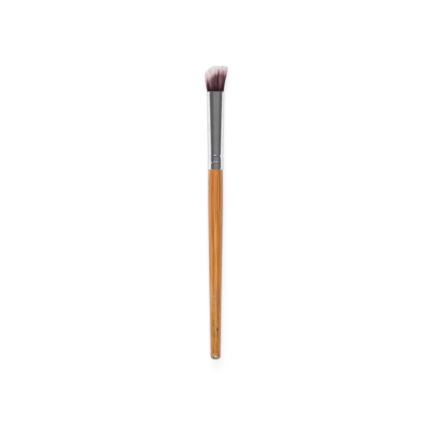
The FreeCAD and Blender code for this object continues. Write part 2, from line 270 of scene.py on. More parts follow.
class Graph:
    """A node tree being wired, with short ways to add nodes and join them."""

    def __init__(self, tree: bpy.types.NodeTree) -> None:
        """Take a tree and empty it."""
        self.tree = tree
        tree.nodes.clear()

    def add(self, kind: str, inputs: Inputs | None = None, **settings: object) -> bpy.types.Node:
        """Add a node.

        Args:
            kind: the node's type name without its leading "ShaderNode".
            inputs: a value or a feeding socket for each named or numbered input.
            settings: the node's own properties.

        Returns:
            The node.
        """
        node = self.tree.nodes.new(f"ShaderNode{kind}")
        for key, setting in settings.items():
            setattr(node, key, setting)
        self.feed(node, inputs or {})
        return node

    def feed(self, node: bpy.types.Node, inputs: Inputs) -> None:
        """Link each feeding socket to its input, and set the other inputs' own values.

        Args:
            node: the node that is fed.
            inputs: a value or a feeding socket for each named or numbered input.
        """
        for key, feed in inputs.items():
            if isinstance(feed, Socket):
                self.tree.links.new(feed, node.inputs[key])
            else:
                node.inputs[key].default_value = feed

    def calc(self, operation: str, first: Feed, second: Feed, third: Feed = 0.0) -> Socket:
        """Return the result of a Math node."""
        return self.add("Math", {0: first, 1: second, 2: third}, operation=operation).outputs[0]

    def total(self, base: Feed, *parts: tuple[Feed, float]) -> Socket:
        """Return a value plus the given share of each of some masks.

        Args:
            base: the value.
            parts: a mask and its share each.

        Returns:
            The total's socket.
        """
        for mask, share in parts:
            base = self.calc("MULTIPLY_ADD", mask, share, base)
        return base

    def vector(self, operation: str, inputs: Inputs, result: str = "Vector") -> Socket:
        """Return a result of a Vector Math node."""
        return self.add("VectorMath", inputs, operation=operation).outputs[result]

    def span(self, feed: Feed, low: Feed, high: Feed, to_low: float = 0.0, to_high: float = 1.0) -> Socket:
        """Return a value carried smoothly from one range to another and held there."""
        limits = {"Value": feed, "From Min": low, "From Max": high, "To Min": to_low, "To Max": to_high}
        return self.add("MapRange", limits, interpolation_type="SMOOTHSTEP").outputs["Result"]

    def risen(self, feed: Feed, rise: Rise) -> Socket:
        """Return the smooth rise of a value."""
        return self.span(feed, rise.start, rise.stop, 0.0, rise.amount)

    def tint(self, share: Feed, below: Feed, above: Feed) -> Socket:
        """Return two colours mixed, with a share of the second."""
        return self.add("Mix", {0: share, 6: below, 7: above}, data_type="RGBA").outputs[2]

    def ramp(self, feed: Feed, places: Sequence[float], colours: Sequence[Colour]) -> Socket:
        """Return the colour that a value picks from a row of stops.

        Args:
            feed: the value, from zero to one.
            places: the place of each stop, in order.
            colours: its colour.

        Returns:
            The picked colour's socket.
        """
        node = self.add("ValToRGB", {"Fac": feed})
        elements = node.color_ramp.elements
        while len(elements) < len(places):
            elements.new(1.0)
        for element, place, colour in zip(elements, places, colours):
            element.position, element.color = place, colour
        return node.outputs["Color"]

    def bump(self, height: Feed, strength: float, depth: float) -> Socket:
        """Return the normal of a relief of some strength and depth."""
        relief = {"Strength": strength, "Distance": depth, "Height": height}
        return self.add("Bump", relief).outputs["Normal"]

    def shown(self) -> Socket:
        """Tell the rays that see a background as white: from the camera, in gloss or through glass.

        Returns:
            One for such a ray, and zero for any other.
        """
        path = self.add("LightPath").outputs
        mirrored = self.calc("MAXIMUM", path["Is Glossy Ray"], path["Is Transmission Ray"])
        return self.calc("MAXIMUM", mirrored, path["Is Camera Ray"])


@dataclass(frozen=True)
class Grain:
    """One scale of grain: features to a metre across and along, and the noise that becomes zero and one."""

    across: float
    along: float
    low: float
    high: float


@dataclass(frozen=True)
class Mottle:
    """One scale of mottle: features to a metre, and the noise that becomes zero and one."""

    scale: float
    low: float
    high: float


@dataclass(frozen=True)
class Spot:
    """A soft spot on the wood's upper skin, its place and radius in millimetres.

    It is longer along the brush by a factor, and lays a share of its colour over the wood.
    """

    across: float
    along: float
    radius: float
    longer: float
    share: float
    colour: Colour


class Effects:
    """The patterns that several finishes share, each a node group that is built once."""

    spot_core: ClassVar[float] = 0.35

    def __init__(self) -> None:
        """Build the groups."""
        self.grain = self._grain()
        self.mottle = self._mottle()
        self.spot = self._spot()

    @staticmethod
    def _start(name: str, inputs: Mapping[str, str], output: str) -> tuple[Graph, Mapping, bpy.types.Node]:
        """Start a shader node group with named sockets.

        Args:
            name: the group's name.
            inputs: the name and the socket kind of each input.
            output: the name of its one output, a number.

        Returns:
            The graph to wire, the sockets of its inputs and its output node.
        """
        tree = bpy.data.node_groups.new(name, "ShaderNodeTree")
        for label, kind in inputs.items():
            tree.interface.new_socket(label, in_out="INPUT", socket_type=f"NodeSocket{kind}")
        tree.interface.new_socket(output, in_out="OUTPUT", socket_type="NodeSocketFloat")
        graph = Graph(tree)
        taken = tree.nodes.new("NodeGroupInput").outputs
        return graph, {label: taken[label] for label in inputs}, tree.nodes.new("NodeGroupOutput")

    def _grain(self) -> bpy.types.NodeTree:
        """Build lengthwise grain: noise of the place stretched along Y, with its contrast set by two limits.

        Returns:
            The group.
        """
        inputs = {"Place": "Vector", "Across": "Float", "Along": "Float", "Low": "Float", "High": "Float"}
        graph, taken, given = self._start("lengthwise_grain", inputs, "Grain")
        scales = graph.add("CombineXYZ", {"X": taken["Across"], "Y": taken["Along"], "Z": taken["Across"]})
        stretched = graph.vector("MULTIPLY", {0: taken["Place"], 1: scales.outputs[0]})
        look = {"Scale": 1.0, "Detail": 3.0, "Roughness": 0.55}
        noise = graph.add("TexNoise", {"Vector": stretched, **look}).outputs["Fac"]
        graph.feed(given, {"Grain": graph.span(noise, taken["Low"], taken["High"])})
        return graph.tree

    def _mottle(self) -> bpy.types.NodeTree:
        """Build even mottle: noise of the place, with its contrast set by two limits.

        Returns:
            The group.
        """
        inputs = {"Place": "Vector", "Scale": "Float", "Low": "Float", "High": "Float"}
        graph, taken, given = self._start("even_mottle", inputs, "Mottle")
        look = {"Scale": taken["Scale"], "Detail": 4.0}
        noise = graph.add("TexNoise", {"Vector": taken["Place"], **look}).outputs["Fac"]
        graph.feed(given, {"Mottle": graph.span(noise, taken["Low"], taken["High"])})
        return graph.tree

    def _spot(self) -> bpy.types.NodeTree:
        """Build a soft spot: one around a centre, falling to zero at a radius that is longer along Y.

        Returns:
            The group.
        """
        inputs = {"Place": "Vector", "Centre": "Vector", "Radius": "Float", "Longer": "Float"}
        graph, taken, given = self._start("soft_spot", inputs, "Spot")
        apart = graph.vector("SUBTRACT", {0: taken["Place"], 1: taken["Centre"]})
        shorter = graph.calc("DIVIDE", 1.0, taken["Longer"])
        shares = graph.add("CombineXYZ", {"X": 1.0, "Y": shorter, "Z": 1.0})
        eased = graph.vector("MULTIPLY", {0: apart, 1: shares.outputs[0]})
        away = graph.calc("DIVIDE", graph.vector("LENGTH", {0: eased}, "Value"), taken["Radius"])
        graph.feed(given, {"Spot": graph.span(away, self.spot_core, 1.0, 1.0, 0.0)})
        return graph.tree


class Surface(Graph):
    """A material's graph, with the shared patterns at hand and the Object coordinates as its place."""

    def __init__(self, tree: bpy.types.NodeTree, effects: Effects) -> None:
        """Take the material's tree, empty it and keep the patterns.

        Args:
            tree: the material's tree.
            effects: the shared patterns.
        """
        super().__init__(tree)
        self.effects = effects
        self.place = self.add("TexCoord").outputs["Object"]

    def use(self, group: bpy.types.NodeTree, values: Mapping[str, Feed]) -> Socket:
        """Place a shared pattern with its own values and return its only output."""
        inputs = {name.title(): value for name, value in values.items()}
        return self.add("Group", {"Place": self.place, **inputs}, node_tree=group).outputs[0]

    def grained(self, grain: Grain) -> Socket:
        """Return the mask of one scale of lengthwise grain."""
        return self.use(self.effects.grain, asdict(grain))

    def mottled(self, mottle: Mottle) -> Socket:
        """Return the mask of one scale of even mottle."""
        return self.use(self.effects.mottle, asdict(mottle))

    def spotted(self, colour: Feed, skin: Skin, spots: Sequence[Spot]) -> Socket:
        """Lay soft spots over a colour.

        Args:
            colour: the colour below the spots.
            skin: gives the height of the upper skin at a place across and along, in metres.
            spots: the spots, in order.

        Returns:
            The spotted colour's socket.
        """
        for spot in spots:
            across, along = spot.across * MM, spot.along * MM
            shape = {"radius": spot.radius * MM, "longer": spot.longer}
            mask = self.use(self.effects.spot, {"centre": (across, along, skin(across, along)), **shape})
            colour = self.tint(self.calc("MULTIPLY", mask, spot.share), colour, spot.colour)
        return colour


class Finish:
    """What every finish does: it wires a Principled shader into a material of its own name."""

    name: ClassVar[str]

    def surface(self, graph: Surface) -> Inputs:
        """Return what each input of the shader is fed or set to."""
        raise NotImplementedError

    def material(self, effects: Effects) -> bpy.types.Material:
        """Wire the finish.

        Args:
            effects: the shared patterns.

        Returns:
            The material.
        """
        material = bpy.data.materials.new(self.name)
        material.use_nodes = True
        graph = Surface(material.node_tree, effects)
        shader = graph.add("BsdfPrincipled", self.surface(graph))
        graph.add("OutputMaterial", {"Surface": shader.outputs["BSDF"]})
        return material


@dataclass(frozen=True)
class BambooFinish(Finish):
    """Satin clear lacquer over turned bamboo: long streaks, fibre dashes, a few knots and pale end grain."""

    name: ClassVar[str] = "lacquered_bamboo"
    skin: Skin
    dark: Colour = ink("a65610")
    middle: Colour = ink("cb7818")
    light: Colour = ink("e3a03e")
    yellow: Colour = ink("c78420")
    red: Colour = ink("bd6530")
    tan: Colour = ink("b6784a")
    deep: Colour = ink("bb6217")
    olive: Colour = ink("b98a26")
    fibre: Colour = ink("8a4a1a")
    smudge: Colour = ink("8a5c28")
    knot: Colour = ink("6a3008")
    # pale colour of the wood's flecks, also used for a painted highlight at the butt
    pale_fleck_and_highlight: Colour = ink("f0d09c")
    end_grain: Colour = ink("b09a76")
    pore: Colour = ink("4e3f2b")
    broad: Grain = Grain(620.0, 4.0, 0.25, 0.75)
    middling: Grain = Grain(2100.0, 10.0, 0.28, 0.72)
    fine: Grain = Grain(6200.0, 45.0, 0.25, 0.75)
    dashes: Grain = Grain(5200.0, 260.0, 0.62, 0.72)
    smudges: Grain = Grain(1300.0, 240.0, 0.4, 0.64)
    speckle: Mottle = Mottle(1300.0, 0.4, 0.6)
    cloud: Mottle = Mottle(170.0, 0.3, 0.7)
    broad_share: float = 0.24
    middling_share: float = 0.42
    fine_share: float = 0.34
    ramp_places: tuple[float, ...] = (0.2, 0.5, 0.8)
    yellowed: Rise = Rise(-20 * MM, -60 * MM, 0.55)
    handled: Rise = Rise(-40 * MM, -66 * MM, 0.55)
    ended: Rise = Rise(-75.45 * MM, -77.45 * MM, 0.85)
    end_ragged: float = 2.2 * MM
    dash_share: float = 0.42
    pore_share: float = 0.8
    roughness: float = 0.36
    cloud_roughness: float = 0.10
    fine_roughness: float = 0.12
    relief_share: float = 0.5
    relief_strength: float = 0.25
    relief_depth: float = 0.03 * MM
    coat_roughness: float = 0.25
    coat_index: float = 1.76

    def surface(self, graph: Surface) -> Inputs:
        """Wire the wood's colour from its grain outwards, and the lacquer over it.

        Args:
            graph: the material's graph.

        Returns:
            What each input of the shader is fed or set to.
        """
        along = graph.add("SeparateXYZ", {0: graph.place}).outputs["Y"]
        scales = (self.broad, self.middling, self.fine, self.dashes)
        broad, middling, fine, dashes = (graph.grained(scale) for scale in scales)
        shares = (self.broad_share, self.middling_share, self.fine_share)
        mixed = graph.total(0.0, *zip((broad, middling, fine), shares))
        colour = graph.ramp(mixed, self.ramp_places, (self.dark, self.middle, self.light))
        colour = graph.tint(graph.risen(along, self.yellowed), colour, self.yellow)
        worn = graph.calc("MULTIPLY", graph.grained(self.smudges), graph.risen(along, self.handled))
        colour = graph.tint(worn, colour, self.smudge)
        colour = graph.spotted(colour, self.skin, self._bands())
        colour = graph.tint(graph.calc("MULTIPLY", dashes, self.dash_share), colour, self.fibre)
        speckle = graph.mottled(self.speckle)
        pale = graph.tint(graph.calc("MULTIPLY", speckle, self.pore_share), self.end_grain, self.pore)
        ragged = graph.total(along, (speckle, self.end_ragged))
        colour = graph.tint(graph.risen(ragged, self.ended), colour, pale)
        cloud = graph.mottled(self.cloud)
        relief = graph.calc("SUBTRACT", graph.calc("MULTIPLY", middling, self.relief_share), dashes)
        added = ((cloud, self.cloud_roughness), (fine, self.fine_roughness))
        return {
            "Base Color": graph.spotted(colour, self.skin, self._marks()),
            "Roughness": graph.total(self.roughness, *added),
            "Normal": graph.bump(relief, self.relief_strength, self.relief_depth),
            "Coat Weight": 1.0,
            "Coat Roughness": self.coat_roughness,
            "Coat IOR": self.coat_index,
        }

    def _bands(self) -> list[Spot]:
        """Return the broad bands of the wood's figure."""
        return [
            Spot(-1.5, 16.0, 1.0, 12.0, 0.6, self.deep),
            Spot(-1.2, -8.0, 0.8, 20.0, 0.5, self.deep),
            Spot(2.3, 12.0, 1.1, 14.0, 0.5, self.deep),
            Spot(-0.1, -13.0, 0.8, 16.0, 0.5, self.light),
            Spot(0.8, 10.0, 0.9, 11.0, 0.3, self.red),
            Spot(-0.1, -45.5, 1.7, 6.0, 0.55, self.tan),
            Spot(1.6, -46.0, 1.5, 6.0, 0.6, self.red),
            Spot(-2.3, -44.0, 1.1, 9.0, 0.2, self.pale_fleck_and_highlight),
            Spot(-0.6, -66.0, 0.6, 9.0, 0.45, self.deep),
            Spot(0.2, -59.5, 0.7, 5.0, 0.3, self.light),
            Spot(0.2, -72.5, 0.9, 5.0, 0.6, self.deep),
            Spot(1.0, 21.2, 0.9, 1.5, 0.6, self.olive),
        ]

    def _marks(self) -> list[Spot]:
        """Return the knots, the light flecks and the pits of the butt, and a pale spot of end grain with a
        painted highlight.
        """
        return [
            Spot(0.8, 0.0, 0.5, 1.4, 0.8, self.knot),
            Spot(2.3, 0.0, 0.45, 1.2, 0.7, self.pale_fleck_and_highlight),
            Spot(1.0, -63.4, 0.85, 1.3, 0.95, self.knot),
            Spot(0.4, -62.3, 0.35, 2.0, 0.5, self.knot),
            Spot(-0.9, -58.8, 0.5, 1.6, 0.7, self.knot),
            Spot(-1.1, -60.8, 0.5, 1.8, 0.65, self.knot),
            Spot(1.3, -56.9, 0.35, 2.2, 0.45, self.knot),
            Spot(-0.6, -67.0, 0.5, 4.5, 0.6, self.fibre),
            Spot(1.0, -50.2, 0.3, 2.4, 0.4, self.knot),
            Spot(-1.1, -45.3, 0.45, 1.3, 0.75, self.pale_fleck_and_highlight),
            Spot(-1.4, -47.2, 0.25, 4.0, 0.4, self.pale_fleck_and_highlight),
            Spot(-0.8, -48.9, 0.25, 5.0, 0.5, self.pale_fleck_and_highlight),
            Spot(-0.5, -51.6, 0.22, 4.0, 0.35, self.pale_fleck_and_highlight),
            Spot(-1.2, -53.0, 0.3, 2.4, 0.55, self.pale_fleck_and_highlight),
            Spot(-1.2, -75.6, 0.4, 1.3, 0.75, self.pore),
            Spot(1.1, -75.6, 0.4, 1.4, 0.6, self.knot),
            Spot(-1.9, -76.9, 0.4, 1.1, 0.7, self.pore),
            Spot(1.7, -77.3, 0.5, 1.2, 0.6, self.knot),
            Spot(-1.2, -77.3, 0.5, 1.1, 0.75, self.pale_fleck_and_highlight),
            # pale end grain at the butt's tip, with a painted highlight over it
            Spot(0.2, -78.0, 0.8, 1.1, 0.95, self.pale_fleck_and_highlight),
            Spot(-1.0, -78.9, 0.5, 1.0, 0.7, self.pore),
            Spot(1.3, -78.7, 0.45, 1.0, 0.6, self.pale_fleck_and_highlight),
        ]


@dataclass(frozen=True)
class MetalFinish(Finish):
    """Smooth drawn aluminium with faint lengthwise lines and a handled haze, duller at a grazing angle."""

    name: ClassVar[str] = "drawn_aluminium"
    bright: Colour = ink("efeef0")
    dull: Colour = ink("e2e1e4")
    edge: Colour = ink("cbcbce")
    draw_lines: Grain = Grain(5200.0, 40.0, 0.3, 0.7)
    haze: Mottle = Mottle(240.0, 0.35, 0.7)
    line_share: float = 0.5
    haze_share: float = 0.5
    roughness: float = 0.13
    haze_roughness: float = 0.06
    line_roughness: float = 0.05
    line_strength: float = 0.12
    line_depth: float = 0.004 * MM

    def surface(self, graph: Surface) -> Inputs:
        """Wire the metal: its lines and its haze dull and roughen it.

        Args:
            graph: the material's graph.

        Returns:
            What each input of the shader is fed or set to.
        """
        lines, haze = graph.grained(self.draw_lines), graph.mottled(self.haze)
        dulled = graph.total(0.0, (haze, self.haze_share), (lines, self.line_share))
        added = ((haze, self.haze_roughness), (lines, self.line_roughness))
        return {
            "Base Color": graph.tint(dulled, self.bright, self.dull),
            "Roughness": graph.total(self.roughness, *added),
            "Normal": graph.bump(lines, self.line_strength, self.line_depth),
            "Metallic": 1.0,
            "Specular Tint": self.edge,
        }


@dataclass(frozen=True)
class FilamentFinish(Finish):
    """Soft synthetic filament: near-black at the mouth by dye and painted shade, plum along its length, white
    at tip.
    """

    name: ClassVar[str] = "two_tone_filament"
    # mouth and root: the dye darkened by painted shade towards the ferrule's mouth, where the filaments crowd
    # together
    mouth: Colour = ink("1f0e13")
    root: Colour = ink("40222a")
    body: Colour = ink("6a3d45")
    upper: Colour = ink("7d555c")
    strand: Colour = ink("a18d92")
    blush: Colour = ink("d9a3ae")
    pale: Colour = ink("f3d9df")
    tip: Colour = ink("fdfbfb")
    dye_and_mouth_shade_heights: tuple[float, ...] = (0.0, 0.11, 0.3, 0.8)
    bleach_places: tuple[float, ...] = (0.0, 0.4, 0.75, 1.0)
    bleached: Rise = Rise(0.0, 0.35)
    strands: Grain = Grain(2300.0, 230.0, 0.38, 0.62)
    strand_light: float = 0.75
    own_light: float = 1.1
    worn_shade: Rise = Rise(0.8, 1.5, 0.6)
    worn_height: Rise = Rise(0.1, 0.35)
    roughness: float = 0.42
    strand_roughness: float = 0.12
    gloss: float = 0.3
    sheen: float = 0.06
    sheen_roughness: float = 0.45

    def surface(self, graph: Surface) -> Inputs:
        """Wire the filament, which reads its own height, shade and dye from its mesh.

        Args:
            graph: the material's graph.

        Returns:
            What each input of the shader is fed or set to.
        """
        names = ("height", "shade", "dye")
        height, shade, dye = (graph.add("Attribute", attribute_name=name).outputs["Fac"] for name in names)
        strands = graph.grained(self.strands)
        # the height ramp is the dye, with painted shade making it near-black at the mouth
        dye_with_mouth_shade = graph.ramp(height, self.dye_and_mouth_shade_heights, (self.mouth, self.root, self.body, self.upper))
        # the shade attribute carries painted side light along with each filament's own tone
        light = graph.total(0.0, (strands, self.strand_light), (shade, self.own_light))
        lit = graph.vector("SCALE", {0: dye_with_mouth_shade, "Scale": light})
        worn = graph.risen(shade, self.worn_shade)
        worn = graph.calc("MULTIPLY", worn, graph.risen(height, self.worn_height))
        lit = graph.tint(worn, lit, self.strand)
        white = graph.ramp(dye, self.bleach_places, (self.upper, self.blush, self.pale, self.tip))
        return {
            "Base Color": graph.tint(graph.risen(dye, self.bleached), lit, white),
            "Roughness": graph.total(self.roughness, (strands, self.strand_roughness)),
            "Specular IOR Level": self.gloss,
            "Sheen Weight": self.sheen,
            "Sheen Roughness": self.sheen_roughness,
        }


@dataclass(frozen=True)
class AdhesiveFinish(Finish):
    """Hardened amber adhesive with cloudy patches and small bubbles."""

    name: ClassVar[str] = "hardened_adhesive"
    clear: Colour = ink("c9a45a")
    cloudy: Colour = ink("e0cda0")
    cloud: Mottle = Mottle(420.0, 0.3, 0.7)
    bubbles: Mottle = Mottle(2400.0, 0.55, 0.7)
    roughness: float = 0.2
    cloud_roughness: float = 0.15
    bubble_strength: float = 0.3
    bubble_depth: float = 0.05 * MM

    def surface(self, graph: Surface) -> Inputs:
        """Wire the adhesive: its clouds lighten and roughen it.

        Args:
            graph: the material's graph.

        Returns:
            What each input of the shader is fed or set to.
        """
        cloud, bubbles = graph.mottled(self.cloud), graph.mottled(self.bubbles)
        return {
            "Base Color": graph.tint(cloud, self.clear, self.cloudy),
            "Roughness": graph.total(self.roughness, (cloud, self.cloud_roughness)),
            "Normal": graph.bump(bubbles, self.bubble_strength, self.bubble_depth),
        }


@dataclass
class Handle:
    """The turned bamboo handle, its sizes in metres and its places measured from the butt."""

    butt_radius: float = 2.75 * MM
    dome_height: float = 0.7 * MM
    butt_round: float = 1.9 * MM
    barrel_radius: float = 4.12 * MM
    barrel_foot: float = 84.0 * MM
    barrel_top: float = 98.0 * MM
    shoulder: float = 103.5 * MM
    shoulder_radius: float = 4.0 * MM
    shoulder_round: float = 0.12 * MM
    tenon_radius: float = 3.5 * MM
    tenon_top: float = 114.5 * MM
    tenon_chamfer: float = 0.5 * MM
    around: int = 112

    def outline(self) -> np.ndarray:
        """Work out the outline that is turned: place along the axis and radius, from butt to tenon.

        The butt is a cap of the ball through the dome's rim and middle. A fillet of radius f rolls between
        the ball and the taper: its centre lies f inside the taper's line and (ball - f) from the ball's
        middle.

        Returns:
            The outline's points, without the two on the axis.
        """
        ball = (self.butt_radius**2 + self.dome_height**2) / (2 * self.dome_height)
        rim = np.array([self.dome_height, self.butt_radius])
        foot = np.array([self.barrel_foot, self.barrel_radius])
        taper = (foot - rim) / np.linalg.norm(foot - rim)
        inward = np.array([taper[1], -taper[0]])
        start = rim + inward * self.butt_round - [ball, 0.0]
        reach = start @ taper
        slide = -reach - math.sqrt(reach**2 - start @ start + (ball - self.butt_round) ** 2)
        centre = rim + inward * self.butt_round + taper * slide
        meets = math.atan2(centre[1], centre[0] - ball)
        leaves = math.atan2(taper[0], -taper[1])
        cap = arc((ball, 0.0), ball, math.pi, meets, count=9)[1:-1]
        fillet = arc(centre, self.butt_round, meets, leaves, count=22)
        tapered = np.linspace(fillet[-1], foot, num=150)[1:]
        barrel = np.linspace(foot, [self.barrel_top, self.barrel_radius], num=20)[1:]
        edge = np.array([self.shoulder, self.shoulder_radius])
        eased = np.linspace(barrel[-1], edge - [self.shoulder_round, 0.0], num=12)[1:]
        rounded = arc(edge - self.shoulder_round, self.shoulder_round, math.pi / 2, 0.0, count=6)[1:]
        tenon = [
            [self.shoulder, self.tenon_radius],
            [self.tenon_top - self.tenon_chamfer, self.tenon_radius],
            [self.tenon_top, self.tenon_radius - self.tenon_chamfer],
        ]
        return np.concatenate([cap, fillet, tapered, barrel, eased, rounded, tenon])

    def skin(self, across: float, along: float) -> float:
        """Work out the height of the upper skin: the axis plus the square root of r² - x².

        Args:
            across: the place x across the brush, in metres.
            along: the place along the brush, where the radius is r.

        Returns:
            The height above the table.
        """
        low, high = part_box("handle")
        places, radii = self.outline().T
        radius = float(np.interp(along - low.y, places, radii))
        return (low.z + high.z) / 2 + math.sqrt(max(radius**2 - across**2, 0.0))

    def build(self, effects: Effects) -> None:
        """Turn the outline about the brush's axis: (r cos a, along, r sin a), closed by a point at each end.

        Args:
            effects: the shared patterns.
        """
        low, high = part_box("handle")
        axis, butt = (low.z + high.z) / 2, low.y
        along, radius = self.outline().T
        column = np.arange(self.around)
        angle = column * (FULL_TURN / self.around)
        rings = oval_rings(radius[:, None], radius[:, None], along + butt, axis, angle)
        points = np.concatenate([rings, [[0.0, butt, axis], [0.0, butt + self.tenon_top, axis]]])
        butt_fan = fan(len(rings), column, above=False)
        top_fan = fan(len(rings) + 1, len(rings) - self.around + column, above=True)
        faces = [ring_quads(len(along), self.around, closed=False), butt_fan, top_fan]
        piece = new_piece("bamboo_handle", points, faces)
        settle(piece, BambooFinish(self.skin).material(effects), Slot.BAMBOO, "handle")


@dataclass
class Ferrule:
    """The crimped and flared aluminium ferrule, its sizes in metres and its places measured from its lip.

    A ripple of the crimps is its share of their depth, its waves around and its turn from ring to ring.
    """

    radius: float = 4.275 * MM
    length: float = 42.4 * MM
    straight: float = 11.5 * MM
    wall: float = 0.35 * MM
    lip_round: float = 0.2 * MM
    mouth_round: float = 0.12 * MM
    mouth_half_width: float = 4.825 * MM
    mouth_half_depth: float = 3.7 * MM
    crimps: tuple[float, ...] = (3.8 * MM, 7.4 * MM)
    crimp_half: float = 0.7 * MM
    crimp_depth: float = 0.115 * MM
    ripples: tuple[tuple[float, int, float], ...] = ((0.3, 15, 2.1), (0.15, 23, 1.0))
    around: int = 128

    def dip(self, along: np.ndarray, angle: np.ndarray) -> np.ndarray:
        """Work out how far the crimp rings press the skin in.

        Each ring is a raised cosine across its width. Its depth goes up and down by a sine for each ripple,
        where the rolls bit unevenly.

        Args:
            along: the places along the ferrule, one for each row.
            angle: the angles around it, one for each column.

        Returns:
            The depth at each row and column.
        """
        depth = np.zeros((len(along), len(angle)))
        for number, middle in enumerate(self.crimps):
            apart = np.abs(along - middle)[:, None] / self.crimp_half
            hollow = np.where(apart < 1, 0.5 + 0.5 * np.cos(np.pi * np.minimum(apart, 1)), 0.0)
            uneven = np.ones_like(angle)
            for share, waves, turn in self.ripples:
                uneven += share * np.sin(waves * angle + turn * number)
            depth += self.crimp_depth * hollow * uneven
        return depth

    def loop(self) -> tuple[np.ndarray, np.ndarray]:
        """Work out the wall's closed section: up the outside, over the mouth, down the bore, round the lip.

        Returns:
            The place along the ferrule and the depth below its skin for each row.
        """
        top = self.length - self.mouth_round
        lip = arc((self.lip_round, self.lip_round), self.lip_round, math.pi, 1.5 * math.pi, count=8)
        straight = np.linspace(self.lip_round, self.straight, num=120)[1:]
        flared = np.linspace(self.straight, top, num=70)[1:-1]
        outer_rim = arc((top, self.mouth_round), self.mouth_round, -math.pi / 2, 0.0, count=7)
        inner_rim = arc((top, self.wall - self.mouth_round), self.mouth_round, 0.0, math.pi / 2, count=7)
        bore = np.linspace(top, 0.0, num=60)[1:]
        outside = np.concatenate([straight, flared])
        along = [lip[:, 0], outside, outer_rim[:, 0], inner_rim[:, 0], bore]
        skin, inner_skin = np.zeros(len(outside)), np.full(len(bore), self.wall)
        below = [lip[:, 1], skin, outer_rim[:, 1], inner_rim[:, 1], inner_skin]
        return np.concatenate(along), np.concatenate(below)

    def build(self, effects: Effects) -> None:
        """Carry the section round the axis: (a cos t, along, b sin t), with half width a and half depth b.

        Along the straight stretch a and b are both the radius. Above it they go evenly to the mouth's
        halves. Each row lies its own depth inside that oval, and the crimp rings' depth deeper.

        Args:
            effects: the shared patterns.
        """
        low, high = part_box("ferrule")
        axis, lip = (low.z + high.z) / 2, low.y
        along, below = self.loop()
        angle = np.arange(self.around) * (FULL_TURN / self.around)
        risen = np.clip((along - self.straight) / (self.length - self.straight), 0.0, 1.0)
        inset = below[:, None] + self.dip(along, angle)
        half_width = (self.radius + (self.mouth_half_width - self.radius) * risen)[:, None] - inset
        half_depth = (self.radius + (self.mouth_half_depth - self.radius) * risen)[:, None] - inset
        points = oval_rings(half_width, half_depth, along + lip, axis, angle)
        piece = new_piece("aluminium_ferrule", points, [ring_quads(len(along), self.around, closed=True)])
        settle(piece, MetalFinish().material(effects), Slot.METAL, "ferrule")


@dataclass
class Filaments:
    """What each filament has of its own, in arrays with a row for each.

    Roots and tips are places in the unit disc. Leans, lengths, swings and the heights of the dye are in
    millimetres. A streak is how much lighter a filament is at the mouth and at the crown.
    """

    root: np.ndarray
    tip: np.ndarray
    lean: np.ndarray
    length: np.ndarray
    bleached: np.ndarray
    fade: np.ndarray
    shade: np.ndarray
    phase: np.ndarray
    swing: np.ndarray
    twist: np.ndarray
    streak: np.ndarray

    def chosen(self, mask: np.ndarray) -> "Filaments":
        """Return the filaments that a mask picks."""
        return Filaments(**{field.name: getattr(self, field.name)[mask] for field in fields(self)})


